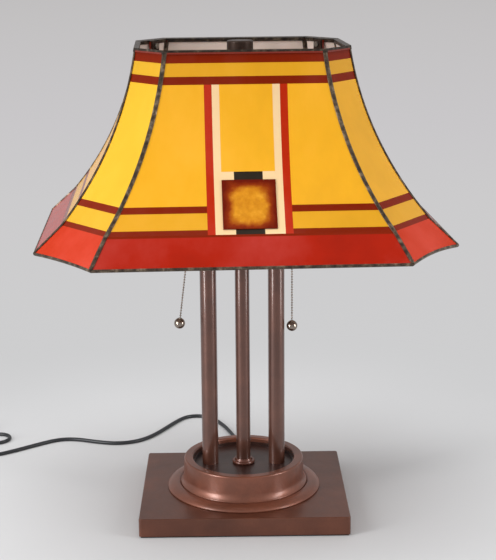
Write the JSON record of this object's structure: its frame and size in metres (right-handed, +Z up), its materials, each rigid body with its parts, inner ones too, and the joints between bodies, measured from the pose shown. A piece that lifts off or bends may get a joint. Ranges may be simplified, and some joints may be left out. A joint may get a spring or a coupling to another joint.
{
  "type": "stained glass table lamp",
  "caption": "Table lamp with an eight-sided flared shade of bent art glass in dark came, on parallel metal columns, a round dish pedestal and a square base, with pull chains and a cord.",
  "frame": {"origin": "centre of the underside of the base", "axes": "+Z up, +X to the right across the columns, -Y towards the front"},
  "size_m": [0.6811, 0.5666, 0.5629],
  "materials": {
    "felt": "matte",
    "bronze": "satin, slightly mottled",
    "iron": "rough",
    "steel": "satin",
    "brass": "aged",
    "insulator": "matte",
    "rubber": "matte",
    "cord": "matte",
    "bulb_glass": "frosted",
    "bulb_base": "bright",
    "chain": "dark satin",
    "came": "dark patina, satin",
    "amber_glass": "wavy art glass",
    "red_glass": "wavy art glass",
    "dark_glass": "wavy art glass",
    "cream_glass": "wavy art glass",
    "jewel_glass": "wavy art glass, darker at its edges",
    "black_glass": "opaque"
  },
  "bodies": {
    "lamp_stand": {"felt_pad": "felt", "base_plate": "bronze", "ballast_weight": "iron", "pedestal_ring": "bronze", "dish_plate": "bronze", "column_left": "bronze", "column_center": "bronze", "column_right": "bronze", "column_collar": "bronze", "lamp_pipe": "steel", "pipe_nuts": "steel", "column_screws": "steel", "column_yoke": "bronze", "cluster_body": "brass", "riser_sleeve": "brass", "socket_shell_left": "brass", "socket_shell_right": "brass", "socket_cores": "insulator", "cord_grommet": "rubber", "cord_run": "cord", "cord_coil": "cord", "cord_plug": "rubber"},
    "shade_seat": {"seat_washer": "steel"},
    "shade": {"shade_spider": "steel", "spider_screws": "steel", "top_rim": "came", "bottom_rim": "came", "seam_cames": "came", "front_glass": "amber_glass", "back_glass": "amber_glass", "left_glass": "amber_glass", "right_glass": "amber_glass", "back_right_corner_glass": "amber_glass", "back_left_corner_glass": "amber_glass", "front_left_corner_glass": "amber_glass", "front_right_corner_glass": "amber_glass", "front_skirt": "red_glass", "back_skirt": "red_glass", "left_skirt": "red_glass", "right_skirt": "red_glass", "back_right_corner_skirt": "red_glass", "back_left_corner_skirt": "red_glass", "front_left_corner_skirt": "red_glass", "front_right_corner_skirt": "red_glass", "dark_bands": "dark_glass", "red_strips": "red_glass", "cream_strips": "cream_glass", "center_jewels": "jewel_glass", "black_tiles": "black_glass"},
    "finial": {"finial": "bronze"},
    "bulb_left": {"bulb_base_left": "bulb_base", "bulb_glass_left": "bulb_glass"},
    "switch_left": {"pull_link_left": "steel"},
    "chain_left": {"pull_chain_left": "chain", "pull_ball_left": "chain"},
    "bulb_right": {"bulb_base_right": "bulb_base", "bulb_glass_right": "bulb_glass"},
    "switch_right": {"pull_link_right": "steel"},
    "chain_right": {"pull_chain_right": "chain", "pull_ball_right": "chain"}
  },
  "joints": [
    {"name": "shade_swivel", "type": "hinge", "parent": "lamp_stand", "child": "shade_seat", "pos_m": [0, 0, 0.539], "axis": [0, 0, 1], "continuous": true},
    {"name": "shade_lift", "type": "slide", "parent": "shade_seat", "child": "shade", "axis": [0, 0, 1], "range_m": [0, 0.24]},
    {"name": "finial_unscrew", "type": "slide", "parent": "shade", "child": "finial", "axis": [0, 0, 1], "range_m": [0, 0.04]},
    {"name": "bulb_left_unscrew", "type": "slide", "parent": "lamp_stand", "child": "bulb_left", "axis": [-1, 0, 0], "range_m": [0, 0.018]},
    {"name": "switch_left_pull", "type": "slide", "parent": "lamp_stand", "child": "switch_left", "axis": [0, 0, -1], "range_m": [0, 0.009], "stiffness_N_per_m": 300, "springref_m": -0.005},
    {"name": "chain_left_swing", "type": "hinge", "parent": "switch_left", "child": "chain_left", "pos_m": [-0.0593, 0, 0.356], "axis": [1, 0, 0], "range_deg": [-35, 35]},
    {"name": "bulb_right_unscrew", "type": "slide", "parent": "lamp_stand", "child": "bulb_right", "axis": [1, 0, 0], "range_m": [0, 0.018]},
    {"name": "switch_right_pull", "type": "slide", "parent": "lamp_stand", "child": "switch_right", "axis": [0, 0, -1], "range_m": [0, 0.009], "stiffness_N_per_m": 300, "springref_m": -0.005},
    {"name": "chain_right_swing", "type": "hinge", "parent": "switch_right", "child": "chain_right", "pos_m": [0.0593, 0, 0.356], "axis": [1, 0, 0], "range_deg": [-35, 35]}
  ]
}
